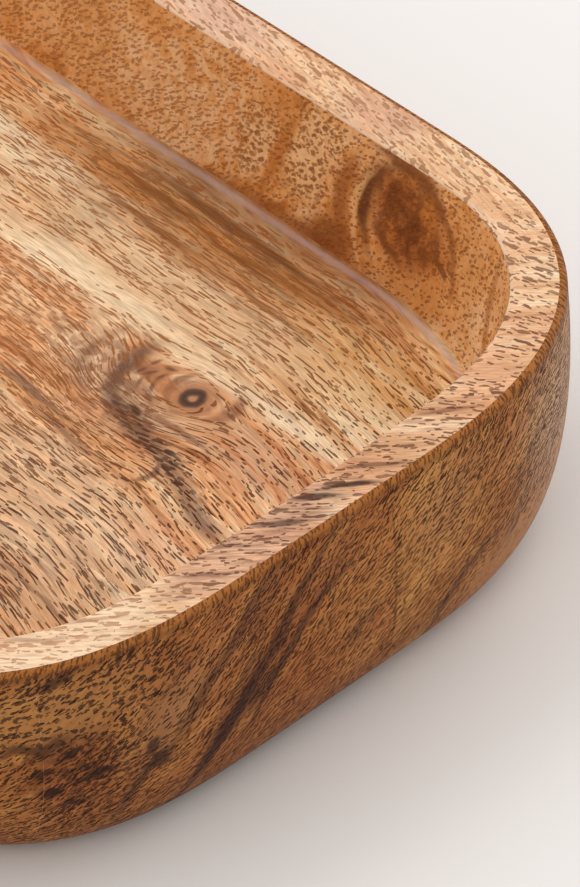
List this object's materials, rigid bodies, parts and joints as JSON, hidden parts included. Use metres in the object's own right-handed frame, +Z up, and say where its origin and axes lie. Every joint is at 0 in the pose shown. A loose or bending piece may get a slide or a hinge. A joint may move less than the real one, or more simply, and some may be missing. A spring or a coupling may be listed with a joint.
{
  "type": "carved wooden tray",
  "caption": "Deep rectangular tray with wide rounded corners, carved from hardwood boards glued edge to edge, with a flat rim and a flat coved floor.",
  "frame": {"origin": "under the middle of the base, on the surface that the tray stands on", "axes": "+X along the tray and its grain towards the end that the picture shows, +Y across the boards towards the far long wall, +Z up"},
  "size_m": [0.3, 0.1922, 0.059],
  "materials": {
    "left_side_wood": "oiled hardwood, satin",
    "left_outer_wood": "oiled hardwood, satin",
    "left_inner_wood": "oiled hardwood, satin",
    "centre_wood": "oiled hardwood, satin",
    "right_inner_wood": "oiled hardwood with a small knot, satin",
    "right_outer_wood": "pale oiled sapwood, satin",
    "right_side_wood": "orange-brown oiled heartwood, satin"
  },
  "bodies": {
    "root": {"left_side_board": "left_side_wood", "left_outer_board": "left_outer_wood", "left_inner_board": "left_inner_wood", "centre_board": "centre_wood", "right_inner_board": "right_inner_wood", "right_outer_board": "right_outer_wood", "right_side_board": "right_side_wood"}
  },
  "joints": []
}
